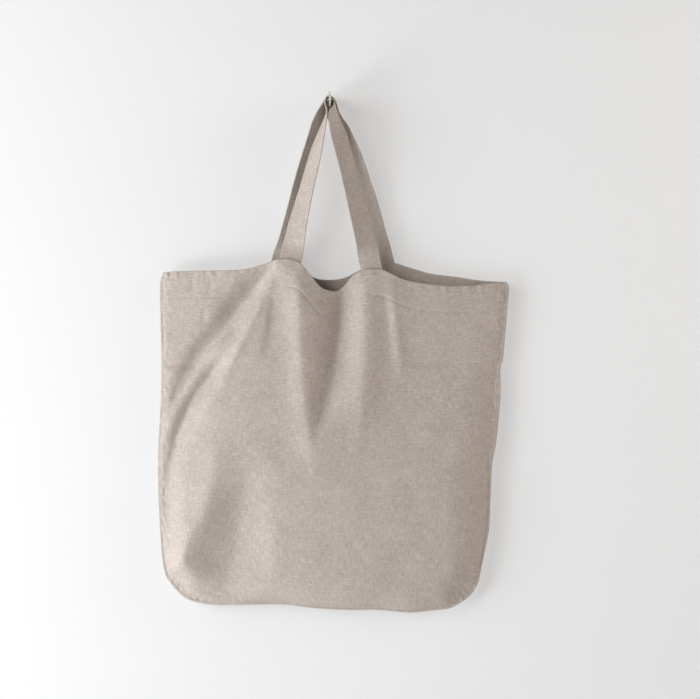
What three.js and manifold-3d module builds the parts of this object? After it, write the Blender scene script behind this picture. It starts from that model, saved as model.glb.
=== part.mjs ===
// A large soft shopping bag hanging by its two handles from a small metal hook.
// Millimetres. +X is to the viewer's right, +Z is up and -Y is toward the viewer.
// The origin is on the hook's mounting face, level with its bar, and the bag hangs below it.
// "Depth" is the distance in front of the mounting plane, which is -Y.

import * as THREE from 'three';
import { mergeVertices } from 'three/addons/utils/BufferGeometryUtils.js';
import Module from 'manifold-3d';

// Driving sizes
const CLOTH = 2.0;             // thickness of a panel
const HEM = { width: 38, extra: 0.6, step: 6 };   // turned in along each rim, on the inside
const WEBBING = 2.0;           // thickness of a folded and stitched handle
const HANDLE_WIDTH = 30;
const HEM_TAPER = 0.04;        // share of the width over which the hem thins into each seam
const PLY_GAP = 0.5;           // clear space between two plies sewn together
const FRONT_LAP_GAP = 1.7;     // clear space between a handle's end and the folded front
const BACK_LAP_GAP = 0.5;      // the same at the smoother back
const HOOK_THICKNESS = 2.6;
const HOOK_SLOPE = 0.12;       // rise of the hook's top edge toward its mounting face

// Steps of the meshes
const FRONT_STEPS = { across: 50, down: 42 };
const BACK_STEPS = { across: 26, down: 22 };
const HANDLE_STEPS = { across: 4, perRow: 3 };
const EDGE_SAMPLES = 64;
const FOLD_SAMPLES = 24;
const SEAM_BLEND = 3;          // how sharply a place takes after the seam it is nearest to

// Outline. The sewn edge runs down the left, round the bottom and up the right.
// depth: how far the seam stands off the mounting plane
// margin: width of the flat seam allowance along the edge
const LEFT_EDGE = [
  { x: -230, z: -228, depth: 15, margin: 2 },
  { x: -234.5, z: -246, depth: 15, margin: 2 },
  { x: -234, z: -290, depth: 16, margin: 2 },
  { x: -232.5, z: -345, depth: 17, margin: 2 },
  { x: -233, z: -400, depth: 18, margin: 2 },
  { x: -235.5, z: -445, depth: 18, margin: 2 },
  { x: -237.3, z: -492, depth: 18, margin: 2 },
  { x: -236, z: -545, depth: 19, margin: 2 },
  { x: -233.5, z: -590, depth: 19, margin: 3 },
  { x: -230.5, z: -624, depth: 20, margin: 4 },
  { x: -225.5, z: -645, depth: 20, margin: 5 },
  { x: -214, z: -661.5, depth: 20, margin: 6 },
];
const BOTTOM_EDGE = [
  { x: -214, z: -661.5, depth: 20, margin: 6 },
  { x: -199, z: -675, depth: 20, margin: 6 },
  { x: -179, z: -682, depth: 20, margin: 6 },
  { x: -154, z: -684.5, depth: 20, margin: 5 },
  { x: -110, z: -684.5, depth: 20, margin: 4 },
  { x: -66, z: -684, depth: 20, margin: 3 },
  { x: -22, z: -689, depth: 20, margin: 3 },
  { x: 22, z: -691.5, depth: 20, margin: 3 },
  { x: 65, z: -691.5, depth: 20, margin: 3 },
  { x: 109, z: -695, depth: 20, margin: 3 },
  { x: 142, z: -692, depth: 20, margin: 4 },
  { x: 164, z: -689, depth: 20, margin: 4 },
  { x: 184, z: -678, depth: 20, margin: 4 },
  { x: 195.5, z: -667.5, depth: 20, margin: 3 },
];
const RIGHT_EDGE = [
  { x: 242, z: -241, depth: 17, margin: 5 },
  { x: 245.5, z: -251, depth: 17, margin: 5 },
  { x: 243, z: -284, depth: 17, margin: 5 },
  { x: 239, z: -333, depth: 16, margin: 6 },
  { x: 237, z: -349, depth: 16, margin: 6 },
  { x: 234, z: -360, depth: 16, margin: 8 },
  { x: 233.7, z: -403, depth: 17, margin: 10 },
  { x: 227.8, z: -463, depth: 18, margin: 7 },
  { x: 222.8, z: -489, depth: 18, margin: 6 },
  { x: 220, z: -540, depth: 19, margin: 4 },
  { x: 218, z: -581, depth: 19, margin: 5 },
  { x: 213.5, z: -604, depth: 20, margin: 4 },
  { x: 209, z: -626, depth: 20, margin: 3 },
  { x: 205.2, z: -645, depth: 20, margin: 3 },
  { x: 202, z: -656, depth: 20, margin: 3 },
  { x: 195.5, z: -667.5, depth: 20, margin: 3 },
];

// The two free rims, left to right. The handles lift each one in two places.
const FRONT_RIM = [
  { x: -230, z: -228 },
  { x: -221, z: -227 },
  { x: -178, z: -226 },
  { x: -122, z: -225 },
  { x: -92, z: -218 },
  { x: -70, z: -210.5 },
  { x: -53, z: -211.5 },
  { x: -40, z: -217 },
  { x: -29, z: -229 },
  { x: -14, z: -248 },
  { x: -1, z: -253.5 },
  { x: 10, z: -254 },
  { x: 19, z: -247 },
  { x: 29, z: -235.5 },
  { x: 42, z: -226 },
  { x: 57, z: -224 },
  { x: 73, z: -226 },
  { x: 104, z: -239.5 },
  { x: 149, z: -246.5 },
  { x: 194, z: -246.5 },
  { x: 230, z: -242 },
  { x: 242, z: -241 },
];
const BACK_RIM = [
  { x: -230, z: -228 },
  { x: -180, z: -228 },
  { x: -122, z: -227 },
  { x: -84, z: -217 },
  { x: -66, z: -214 },
  { x: -48, z: -218 },
  { x: -22, z: -235 },
  { x: 2, z: -238 },
  { x: 22, z: -234 },
  { x: 44, z: -222 },
  { x: 62, z: -214 },
  { x: 88, z: -214.5 },
  { x: 106, z: -220 },
  { x: 137, z: -229 },
  { x: 174, z: -234 },
  { x: 208, z: -239 },
  { x: 242, z: -241 },
];

// How far the front bulges past its sewn edge, at five places across the width
const BULGE_COLUMNS = [
  { name: 'edge', across: 0.05 },
  { name: 'left', across: 0.3 },
  { name: 'middle', across: 0.5 },
  { name: 'right', across: 0.72 },
  { name: 'far', across: 0.95 },
];
const FRONT_BULGE = [
  { z: -228, edge: 6, left: 21, middle: 22, right: 14, far: 5 },
  { z: -330, edge: 5, left: 21, middle: 20, right: 14, far: 8 },
  { z: -430, edge: 11, left: 24, middle: 23, right: 19, far: 14 },
  { z: -530, edge: 17, left: 25, middle: 26, right: 23, far: 19 },
  { z: -630, edge: 17, left: 22, middle: 25, right: 23, far: 20 },
];
const LEAST_BULGE = 0.5;

// Distance over which the bulge swells up from the left, right and bottom seams
const SWELL_RUNS = [
  { z: -228, left: 40, right: 32, bottom: 45 },
  { z: -330, left: 40, right: 44, bottom: 45 },
  { z: -430, left: 46, right: 58, bottom: 45 },
  { z: -530, left: 42, right: 60, bottom: 45 },
  { z: -630, left: 32, right: 50, bottom: 40 },
];

// Folds of the front, each along a curve from its start past its bend to its end.
// rise: height of the ridge, or minus the depth of the trough
// left, right: reach of its two slopes at its start, as seen with its start at the top
// taper: reach at its end as a share of that
// fade: share of its length over which each end dies away
const FRONT_FOLDS = [
  { name: 'long trough to the left side', rise: -14, left: 19, right: 24, taper: 0.5, fade: 0.15,
    start: [-63, -213], bend: [-141, -286], end: [-231, -432] },
  { name: 'crease beside the long trough', rise: 10, left: 8, right: 17, taper: 1.2, fade: 0.3,
    start: [-126, -308], bend: [-183, -341], end: [-235, -468] },
  { name: 'second trough on the left', rise: -13, left: 13, right: 15, taper: 1, fade: 0.2,
    start: [-118, -327], bend: [-255, -430], end: [-219, -640] },
  { name: 'ridge below the left handle', rise: 8, left: 9, right: 36, taper: 1.5, fade: 0.2,
    start: [-63, -202], bend: [-98, -305], end: [-192, -458] },
  { name: 'small crease', rise: -3, left: 6, right: 15, taper: 1.2, fade: 0.45,
    start: [-71, -234], bend: [-77, -290], end: [-89, -368] },
  { name: 'ridge beside the middle trough', rise: 12, left: 12, right: 31, taper: 1.9, fade: 0.25,
    start: [-41, -203], bend: [-47, -335], end: [-14, -525] },
  { name: 'middle trough', rise: -15, left: 25, right: 25, taper: 0.65, fade: 0.25,
    start: [16, -189], bend: [22, -350], end: [-32, -472] },
  { name: 'ridge below the right handle', rise: 8, left: 13, right: 18, taper: 1.6, fade: 0.3,
    start: [44, -205], bend: [54, -332], end: [37, -478] },
  { name: 'tuck beside the right handle', rise: 4, left: 6, right: 15, taper: 1, fade: 0.35,
    start: [80, -215], bend: [88, -296], end: [97, -387] },
  { name: 'roll along the left side', rise: 12, left: 29, right: 42, taper: 0.6, fade: 0.3,
    start: [-149, -425], bend: [-152, -570], end: [-246, -690] },
  { name: 'hollow above the left corner', rise: -13, left: 42, right: 40, taper: 1.4, fade: 0.25,
    start: [-110, -478], bend: [-128, -622], end: [-177, -820] },
  { name: 'soft roll above the bottom', rise: 3, left: 12, right: 30, taper: 1.2, fade: 0.35,
    start: [-88, -554], bend: [-68, -602], end: [-78, -668] },
  { name: 'low bump above the bottom', rise: 1.5, left: 18, right: 24, taper: 1, fade: 0.4,
    start: [47, -612], bend: [60, -640], end: [66, -676] },
  { name: 'dent in the left hem', rise: -4.5, left: 11, right: 18, taper: 1.1, fade: 0.4,
    start: [-88, -228], bend: [-119, -255], end: [-172, -290] },
  { name: 'faint roll below the middle', rise: 2.2, left: 27, right: 31, taper: 1.4, fade: 0.4,
    start: [-84, -424], bend: [-84, -505], end: [-89, -590] },
];
const FOLD_CREST = 4;          // distance from its line over which a fold is rounded off
const FOLD_FORM = 1.5;         // 1 for slopes that grow steeper up to the line, 2 for soft even ones

// The back lies nearly flat against the mounting plane and is drawn forward at its rim
const BACK_REST_DEPTH = 4.2;
const BACK_RIM_PULL = 7;       // how far the handle draws the rim forward
const BACK_RIM_LOW = -238;     // height of the rim's lowest stretch
const BACK_RIM_REACH = 75;     // how far down the panel that pull is felt
const BACK_RUN = 36;           // distance over which the back leaves the seams

// Handles, from the sewn end on the left over the hook to the sewn end on the right.
// turn: angle of the band's width, 0 across the bag and 90 straight out along the hook
// sewn: 1 where the band lies on the panel's inner face, 0 where it hangs free
const FRONT_HANDLE = [
  { x: -60, depth: 42, z: -242, turn: 10, sewn: 1 },
  { x: -52.5, depth: 42, z: -205, turn: 12, sewn: 1 },
  { x: -47, depth: 45, z: -180, turn: 26, sewn: 0 },
  { x: -43.3, depth: 47, z: -162, turn: 33, sewn: 0 },
  { x: -34.2, depth: 49, z: -126, turn: 47.5, sewn: 0 },
  { x: -20.2, depth: 51, z: -72, turn: 58, sewn: 0 },
  { x: -14.7, depth: 51.4, z: -52, turn: 65.5, sewn: 0 },
  { x: -9, depth: 51.5, z: -32, turn: 77, sewn: 0 },
  { x: -5.7, depth: 51.5, z: -20, turn: 85, sewn: 0 },
  { x: -4.5, depth: 51.5, z: -10, turn: 90, sewn: 0 },
  { x: -6.7, depth: 51.5, z: 0, turn: 90, sewn: 0 },
  { x: -5.2, depth: 51.5, z: 6.4, turn: 90, sewn: 0 },
  { x: -1.5, depth: 51.5, z: 8.7, turn: 90, sewn: 0 },
  { x: 3, depth: 51.5, z: 6.5, turn: 90, sewn: 0 },
  { x: 5.6, depth: 51.5, z: 0.5, turn: 90, sewn: 0 },
  { x: 5.6, depth: 51.5, z: -6.5, turn: 83, sewn: 0 },
  { x: 4.9, depth: 51.5, z: -13, turn: 68, sewn: 0 },
  { x: 5.3, depth: 51.5, z: -20, turn: 62, sewn: 0 },
  { x: 7.1, depth: 51.5, z: -28, turn: 57, sewn: 0 },
  { x: 9.8, depth: 51, z: -37.5, turn: 51, sewn: 0 },
  { x: 14.3, depth: 50.5, z: -53, turn: 45, sewn: 0 },
  { x: 26.2, depth: 47, z: -96, turn: 41, sewn: 0 },
  { x: 38.2, depth: 43, z: -146, turn: 34, sewn: 0 },
  { x: 47.5, depth: 39, z: -184, turn: 26, sewn: 0 },
  { x: 54.5, depth: 35, z: -217, turn: 8, sewn: 1 },
  { x: 62, depth: 34, z: -254, turn: 6, sewn: 1 },
];
const BACK_HANDLE = [
  { x: -74, depth: 12, z: -245, turn: 166, sewn: 1 },
  { x: -65, depth: 12, z: -208, turn: 160, sewn: 1 },
  { x: -58.8, depth: 13, z: -184, turn: 149, sewn: 0 },
  { x: -49.8, depth: 15, z: -147, turn: 139, sewn: 0 },
  { x: -39.6, depth: 17, z: -102, turn: 130, sewn: 0 },
  { x: -31.3, depth: 18.5, z: -70, turn: 124, sewn: 0 },
  { x: -24.4, depth: 19.5, z: -46, turn: 120, sewn: 0 },
  { x: -19.6, depth: 20, z: -28, turn: 117, sewn: 0 },
  { x: -16.5, depth: 20, z: -19.5, turn: 116, sewn: 0 },
  { x: -12.2, depth: 20, z: -9, turn: 112, sewn: 0 },
  { x: -7.9, depth: 20, z: 3, turn: 100, sewn: 0 },
  { x: -5.6, depth: 20, z: 9.4, turn: 93, sewn: 0 },
  { x: -1.5, depth: 20, z: 12.6, turn: 90, sewn: 0 },
  { x: 3.4, depth: 20, z: 10.8, turn: 91, sewn: 0 },
  { x: 6.4, depth: 20, z: 3.5, turn: 96, sewn: 0 },
  { x: 7.5, depth: 20, z: -9.5, turn: 108, sewn: 0 },
  { x: 11.8, depth: 20, z: -20, turn: 113, sewn: 0 },
  { x: 18.4, depth: 20, z: -31, turn: 118, sewn: 0 },
  { x: 25.6, depth: 19.5, z: -49, turn: 125, sewn: 0 },
  { x: 32.6, depth: 18.5, z: -71, turn: 140, sewn: 0 },
  { x: 41.2, depth: 16.5, z: -104, turn: 163, sewn: 0 },
  { x: 51.8, depth: 15, z: -137, turn: 182, sewn: 0 },
  { x: 61.2, depth: 14, z: -171, turn: 188, sewn: 0 },
  { x: 66.2, depth: 13, z: -188, turn: 185, sewn: 0 },
  { x: 71.5, depth: 12, z: -208, turn: 180, sewn: 1 },
  { x: 80.5, depth: 12, z: -245, turn: 174, sewn: 1 },
];

// Hook: an upright plate, and a flat bar on edge whose lip keeps the handles on
const PLATE = { width: 12, top: 12, bottom: -16, thickness: 2.5 };
// The bar's heights, and its places in front of the mounting face
const BAR = { top: 4.6, bottom: -8.5, front: 68, lipBack: 69.2, lipFront: 71.8, lipTop: 12.2, corner: 6 };
const BAR_EDGE_ROUND = 1.0;

// Materials
const linen = new THREE.MeshStandardMaterial({ color: 0xc0b7b0, roughness: 0.92, metalness: 0 });
const shadedLinen = new THREE.MeshStandardMaterial({ color: 0xb3aaa2, roughness: 0.92, metalness: 0 });
const steel = new THREE.MeshStandardMaterial({ color: 0xb9bab8, roughness: 0.35, metalness: 0.9 });

const clamp01 = (t) => Math.min(1, Math.max(0, t));
const smooth = (t) => clamp01(t) ** 2 * (3 - 2 * clamp01(t));

// A smooth curve through a table's rows, as points with every column kept
function sampleRows(rows, columns, count) {
  const curves = columns.map((name) => new THREE.SplineCurve(
    rows.map((row, index) => new THREE.Vector2(index, row[name]))));
  return Array.from({ length: count + 1 }, (_, step) => {
    const point = {};
    columns.forEach((name, index) => { point[name] = curves[index].getPoint(step / count).y; });
    return point;
  });
}

// The same points spaced evenly along the curve in the X-Z plane, found at a share of its length
function evenCurve(rows, columns) {
  const points = sampleRows(rows, columns, EDGE_SAMPLES * 4);
  const lengths = [0];
  for (let i = 1; i < points.length; i++) {
    lengths.push(lengths[i - 1] + Math.hypot(points[i].x - points[i - 1].x, points[i].z - points[i - 1].z));
  }
  const total = lengths[lengths.length - 1];
  return (share) => {
    const wanted = clamp01(share) * total;
    let i = 1;
    while (i < points.length - 1 && lengths[i] < wanted) i++;
    const t = (wanted - lengths[i - 1]) / (lengths[i] - lengths[i - 1]);
    const point = {};
    columns.forEach((name) => { point[name] = points[i - 1][name] * (1 - t) + points[i][name] * t; });
    return point;
  };
}

const EDGE_COLUMNS = ['x', 'z', 'depth', 'margin'];
const leftEdge = evenCurve(LEFT_EDGE, EDGE_COLUMNS);
const bottomEdge = evenCurve(BOTTOM_EDGE, EDGE_COLUMNS);
const rightEdge = evenCurve(RIGHT_EDGE, EDGE_COLUMNS);
const seams = [leftEdge, bottomEdge, rightEdge].map((edge) => Array.from(
  { length: EDGE_SAMPLES + 1 }, (_, step) => edge(step / EDGE_SAMPLES)));

// Distance from (x, z) to one seam, with the seam's depth and margin at the nearest point
function nearest(seam, x, z) {
  let best = { distance: Infinity };
  for (let i = 1; i < seam.length; i++) {
    const a = seam[i - 1];
    const b = seam[i];
    const dx = b.x - a.x;
    const dz = b.z - a.z;
    const t = clamp01(((x - a.x) * dx + (z - a.z) * dz) / (dx * dx + dz * dz));
    const distance = Math.hypot(x - a.x - t * dx, z - a.z - t * dz);
    if (distance < best.distance) {
      best = {
        distance,
        depth: a.depth + (b.depth - a.depth) * t,
        margin: a.margin + (b.margin - a.margin) * t,
      };
    }
  }
  return best;
}

// A smooth curve through the values at stations[], read at one place and level past both ends
function readCurve(stations, values, place) {
  const last = stations.length - 1;
  const direction = Math.sign(stations[last] - stations[0]);
  let i = 1;
  while (i < last && (place - stations[i]) * direction > 0) i++;
  const t = clamp01((place - stations[i - 1]) / (stations[i] - stations[i - 1]));
  const a = values[Math.max(0, i - 2)];
  const b = values[i - 1];
  const c = values[i];
  const d = values[Math.min(last, i + 1)];
  return b + 0.5 * t * (c - a + t * (2 * a - 5 * b + 4 * c - d + t * (3 * (b - c) + d - a)));
}

// One column of a table that has a row for each of several heights
const columnAt = (rows, name, z) => readCurve(rows.map((row) => row.z), rows.map((row) => row[name]), z);

// Bulge of the front at a height and a share of the width
const bulgeAt = (across, z) => readCurve(
  BULGE_COLUMNS.map((column) => column.across),
  BULGE_COLUMNS.map((column) => columnAt(FRONT_BULGE, column.name, z)),
  across);

// How (x, z) lies to a fold's bent line at share t of its length:
// its distance, its offset to the side and its offset along
function offsetFrom(fold, x, z, t) {
  const s = 1 - t;
  const dx = x - (s * s * fold.start[0] + 2 * s * t * fold.bend[0] + t * t * fold.end[0]);
  const dz = z - (s * s * fold.start[1] + 2 * s * t * fold.bend[1] + t * t * fold.end[1]);
  const tx = 2 * s * (fold.bend[0] - fold.start[0]) + 2 * t * (fold.end[0] - fold.bend[0]);
  const tz = 2 * s * (fold.bend[1] - fold.start[1]) + 2 * t * (fold.end[1] - fold.bend[1]);
  const speed = Math.hypot(tx, tz);
  return {
    distance: Math.hypot(dx, dz),
    side: (dz * tx - dx * tz) / speed,
    along: (dx * tx + dz * tz) / (speed * speed),
  };
}

// Rise of one fold at (x, z): a soft ridge or trough along its bent line
function foldAt(fold, x, z) {
  let share = 0;
  let closest = Infinity;
  for (let i = 0; i <= FOLD_SAMPLES; i++) {
    const { distance } = offsetFrom(fold, x, z, i / FOLD_SAMPLES);
    if (distance < closest) {
      closest = distance;
      share = i / FOLD_SAMPLES;
    }
  }
  share += offsetFrom(fold, x, z, share).along;
  share = clamp01(share + offsetFrom(fold, x, z, share).along);
  const { side } = offsetFrom(fold, x, z, share);
  const reach = (side > 0 ? fold.right : fold.left) * (1 + (fold.taper - 1) * share);
  const ends = smooth(share / fold.fade) * smooth((1 - share) / fold.fade);
  const form = (FOLD_CREST / reach) ** FOLD_FORM - (Math.hypot(side, FOLD_CREST) / reach) ** FOLD_FORM;
  return fold.rise * ends * Math.exp(form);
}

// Where (x, z) lies on the bag: the seams around it and how far in from them it is
function place(x, z) {
  const near = seams.map((seam) => nearest(seam, x, z));
  const weights = near.map((one) => 1 / Math.max(one.distance, 0.01) ** SEAM_BLEND);
  const total = weights[0] + weights[1] + weights[2];
  const mean = (name) => near.reduce((sum, one, i) => sum + one[name] * weights[i], 0) / total;
  return {
    left: near[0].distance,
    bottom: near[1].distance,
    right: near[2].distance,
    depth: mean('depth'),
    margin: mean('margin'),
  };
}

const swell = (distance, run) => {
  const t = clamp01(distance / run);
  return 1 - (1 - t) ** 2;
};

// Depth of the middle of the front panel's cloth
function frontDepth(x, z) {
  const at = place(x, z);
  const across = at.left / (at.left + at.right);
  const rise = swell(at.left - at.margin, columnAt(SWELL_RUNS, 'left', z))
    * swell(at.right - at.margin, columnAt(SWELL_RUNS, 'right', z))
    * swell(at.bottom - at.margin, columnAt(SWELL_RUNS, 'bottom', z));
  const folds = FRONT_FOLDS.reduce((sum, fold) => sum + foldAt(fold, x, z), 0);
  const body = Math.max(bulgeAt(across, z) + folds, LEAST_BULGE) * rise;
  return at.depth + (CLOTH + PLY_GAP) / 2 + body;
}

// Depth of the middle of the back panel's cloth
function backDepth(x, z) {
  const at = place(x, z);
  const seam = at.depth - (CLOTH + PLY_GAP) / 2;
  const flat = swell(at.left - at.margin, BACK_RUN)
    * swell(at.right - at.margin, BACK_RUN)
    * swell(at.bottom - at.margin, BACK_RUN);
  const pull = BACK_RIM_PULL * smooth(1 - (BACK_RIM_LOW - z) / BACK_RIM_REACH);
  return seam + (BACK_REST_DEPTH + pull - seam) * flat;
}

// Unit vector out of the cloth toward the viewer
function clothNormal(depthAt, x, z) {
  const step = 0.5;
  const dx = (depthAt(x + step, z) - depthAt(x - step, z)) / (2 * step);
  const dz = (depthAt(x, z + step) - depthAt(x, z - step)) / (2 * step);
  return new THREE.Vector3(-dx, -1, -dz).normalize();
}

// A share of the way whose steps are closer near both ends
const CROWDING = 0.11;
const crowd = (t) => t - CROWDING * Math.sin(2 * Math.PI * t);

// Point of the flat outline at shares across and down, between its rim and its seams
function outlinePoint(rim, across, down) {
  const top = rim(across);
  const bottom = bottomEdge(across);
  const left = leftEdge(down);
  const right = rightEdge(down);
  const corners = [leftEdge(0), rightEdge(0), leftEdge(1), rightEdge(1)];
  const mix = (name) => (1 - down) * top[name] + down * bottom[name]
    + (1 - across) * left[name] + across * right[name]
    - (1 - across) * (1 - down) * corners[0][name] - across * (1 - down) * corners[1][name]
    - (1 - across) * down * corners[2][name] - across * down * corners[3][name];
  return { x: mix('x'), z: mix('z') };
}

// Closed body between two faces given as equal grids of points, front[row][column]
function closedSheet(front, back) {
  const rows = front.length;
  const columns = front[0].length;
  const positions = [];
  [front, back].forEach((face) => face.forEach((row) => row.forEach((p) => positions.push(p.x, p.y, p.z))));
  const id = (face, row, column) => face * rows * columns + row * columns + column;
  const index = [];
  const quad = (a, b, c, d) => index.push(a, b, c, a, c, d);
  for (let r = 0; r < rows - 1; r++) {
    for (let c = 0; c < columns - 1; c++) {
      quad(id(0, r, c), id(0, r + 1, c), id(0, r + 1, c + 1), id(0, r, c + 1));
      quad(id(1, r, c), id(1, r, c + 1), id(1, r + 1, c + 1), id(1, r + 1, c));
    }
  }
  for (let r = 0; r < rows - 1; r++) {
    quad(id(0, r, 0), id(1, r, 0), id(1, r + 1, 0), id(0, r + 1, 0));
    quad(id(0, r, columns - 1), id(0, r + 1, columns - 1), id(1, r + 1, columns - 1), id(1, r, columns - 1));
  }
  for (let c = 0; c < columns - 1; c++) {
    quad(id(0, 0, c), id(0, 0, c + 1), id(1, 0, c + 1), id(1, 0, c));
    quad(id(0, rows - 1, c), id(1, rows - 1, c), id(1, rows - 1, c + 1), id(0, rows - 1, c + 1));
  }
  const geometry = new THREE.BufferGeometry();
  geometry.setAttribute('position', new THREE.Float32BufferAttribute(positions, 3));
  geometry.setIndex(index);
  geometry.computeVertexNormals();
  return geometry;
}

// One panel: its outline as a grid, set to its depth and given the thickness of the cloth.
// inward is -1 where the inside of the bag is behind the panel and 1 where it is in front.
function panel(rimRows, depthAt, inward, steps) {
  const rim = evenCurve(rimRows, ['x', 'z']);
  const inside = [];
  const outside = [];
  for (let row = 0; row <= steps.down; row++) {
    inside.push([]);
    outside.push([]);
    for (let column = 0; column <= steps.across; column++) {
      const across = crowd(column / steps.across);
      const { x, z } = outlinePoint(rim, across, crowd(row / steps.down));
      const hem = HEM.extra * smooth((HEM.width + HEM.step - (rim(across).z - z)) / HEM.step)
        * smooth(Math.min(across, 1 - across) / HEM_TAPER);
      const middle = new THREE.Vector3(x, -depthAt(x, z), z);
      const normal = clothNormal(depthAt, x, z).multiplyScalar(inward);
      inside[row].push(middle.clone().addScaledVector(normal, CLOTH / 2 + hem));
      outside[row].push(middle.clone().addScaledVector(normal, -CLOTH / 2));
    }
  }
  return inward > 0 ? closedSheet(inside, outside) : closedSheet(outside, inside);
}

// One handle: a flat band that turns as it climbs, lapped onto a panel at both ends
function handle(rows, panelDepth, inward, lapGap) {
  const count = (rows.length - 1) * HANDLE_STEPS.perRow;
  const stations = sampleRows(rows, ['x', 'depth', 'z', 'turn', 'sewn'], count);
  const lap = inward * ((CLOTH + WEBBING) / 2 + HEM.extra + lapGap);
  const forward = new THREE.Vector3(0, -1, -HOOK_SLOPE).normalize();
  const grid = stations.map((here, i) => {
    const a = stations[Math.max(0, i - 1)];
    const b = stations[Math.min(count, i + 1)];
    const inner = new THREE.Vector3(b.z - a.z, 0, -(b.x - a.x)).normalize();
    const turn = THREE.MathUtils.degToRad(here.turn);
    const width = inner.clone().multiplyScalar(Math.cos(turn)).addScaledVector(forward, Math.sin(turn));
    const sewn = smooth(here.sewn);
    return Array.from({ length: HANDLE_STEPS.across + 1 }, (_, column) => {
      const offset = (column / HANDLE_STEPS.across - 0.5) * HANDLE_WIDTH;
      const free = new THREE.Vector3(here.x, -here.depth, here.z).addScaledVector(width, offset);
      const side = Math.sign(Math.cos(turn)) * offset;
      const x = here.x + inner.x * side;
      const z = here.z + inner.z * side;
      const lapped = new THREE.Vector3(x, -panelDepth(x, z), z)
        .addScaledVector(clothNormal(panelDepth, x, z), lap);
      return free.lerp(lapped, sewn);
    });
  });
  const at = (row, column) => grid[Math.min(count, Math.max(0, row))][
    Math.min(HANDLE_STEPS.across, Math.max(0, column))];
  const faces = [1, -1].map((sign) => grid.map((row, r) => row.map((point, c) => {
    const along = at(r + 1, c).clone().sub(at(r - 1, c));
    const across = at(r, c + 1).clone().sub(at(r, c - 1));
    const normal = along.cross(across).normalize();
    return point.clone().addScaledVector(normal, sign * WEBBING / 2);
  })));
  return closedSheet(faces[0], faces[1]);
}

// Position-only copy of a geometry with its shared corners merged
function weld(geometry) {
  const bare = geometry.clone();
  bare.deleteAttribute('normal');
  bare.deleteAttribute('uv');
  return mergeVertices(bare, 1e-4);
}

// Two closed geometries joined into one
function join(wasm, first, second) {
  const solids = [first, second].map((geometry) => {
    const bare = weld(geometry);
    return new wasm.Manifold(new wasm.Mesh({
      numProp: 3,
      vertProperties: new Float32Array(bare.attributes.position.array),
      triVerts: new Uint32Array(bare.index.array),
    }));
  });
  const mesh = solids[0].add(solids[1]).getMesh();
  const geometry = new THREE.BufferGeometry();
  geometry.setAttribute('position', new THREE.Float32BufferAttribute(mesh.vertProperties, 3));
  geometry.setIndex(new THREE.Uint32BufferAttribute(mesh.triVerts, 1));
  geometry.computeVertexNormals();
  return geometry;
}

// The hook's mounting plate, an upright strip with round ends
function hookPlate() {
  const radius = PLATE.width / 2;
  const shape = new THREE.Shape();
  shape.moveTo(radius, PLATE.bottom + radius);
  shape.lineTo(radius, PLATE.top - radius);
  shape.absarc(0, PLATE.top - radius, radius, 0, Math.PI, false);
  shape.lineTo(-radius, PLATE.bottom + radius);
  shape.absarc(0, PLATE.bottom + radius, radius, Math.PI, 2 * Math.PI, false);
  const geometry = new THREE.ExtrudeGeometry(shape, {
    depth: PLATE.thickness, bevelEnabled: false, curveSegments: 10,
  });
  geometry.rotateX(Math.PI / 2);
  return geometry;
}

// The hook's bar on edge, drawn as depth against height, with its lip at the front
function hookBar() {
  const inset = BAR_EDGE_ROUND;
  const root = PLATE.thickness / 2 + inset;
  const topAt = (depth) => BAR.top - inset + HOOK_SLOPE * (BAR.front - depth);
  const shape = new THREE.Shape();
  shape.moveTo(root, BAR.bottom + inset);
  shape.lineTo(BAR.lipFront - BAR.corner, BAR.bottom + inset);
  shape.quadraticCurveTo(
    BAR.lipFront - inset, BAR.bottom + inset, BAR.lipFront - inset, BAR.bottom + BAR.corner);
  shape.lineTo(BAR.lipFront - inset, BAR.lipTop - inset);
  shape.lineTo(BAR.lipBack + inset, BAR.lipTop - inset);
  shape.lineTo(BAR.front + inset, topAt(BAR.front));
  shape.lineTo(root, topAt(root));
  const geometry = new THREE.ExtrudeGeometry(shape, {
    depth: HOOK_THICKNESS - 2 * inset,
    bevelEnabled: true,
    bevelThickness: inset,
    bevelSize: inset,
    bevelSegments: 3,
    curveSegments: 6,
  });
  geometry.translate(0, 0, -(HOOK_THICKNESS - 2 * inset) / 2);
  // drawn right becomes forward, drawn up stays up
  geometry.applyMatrix4(new THREE.Matrix4().makeBasis(
    new THREE.Vector3(0, -1, 0), new THREE.Vector3(0, 0, 1), new THREE.Vector3(-1, 0, 0)));
  return geometry;
}

function named(name, geometry, material) {
  const mesh = new THREE.Mesh(geometry, material);
  mesh.name = name;
  return mesh;
}

const wasm = await Module();
wasm.setup();

const bag = new THREE.Group();
bag.add(
  named('front_panel', panel(FRONT_RIM, frontDepth, -1, FRONT_STEPS), linen),
  named('back_panel', panel(BACK_RIM, backDepth, 1, BACK_STEPS), shadedLinen),
  named('front_handle', handle(FRONT_HANDLE, frontDepth, -1, FRONT_LAP_GAP), linen),
  named('back_handle', handle(BACK_HANDLE, backDepth, 1, BACK_LAP_GAP), shadedLinen),
  named('wall_hook', join(wasm, hookPlate(), hookBar()), steel),
);

export default bag;
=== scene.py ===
# A large soft linen shopping bag hanging by its two handles from a small metal hook.
# Lengths in the tables are millimetres, and the finished meshes are in metres.
# +X is to the viewer's right, +Z is up and -Y is toward the viewer.
# "Depth" is the distance in front of the mounting plane, which is -Y.

import math

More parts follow.
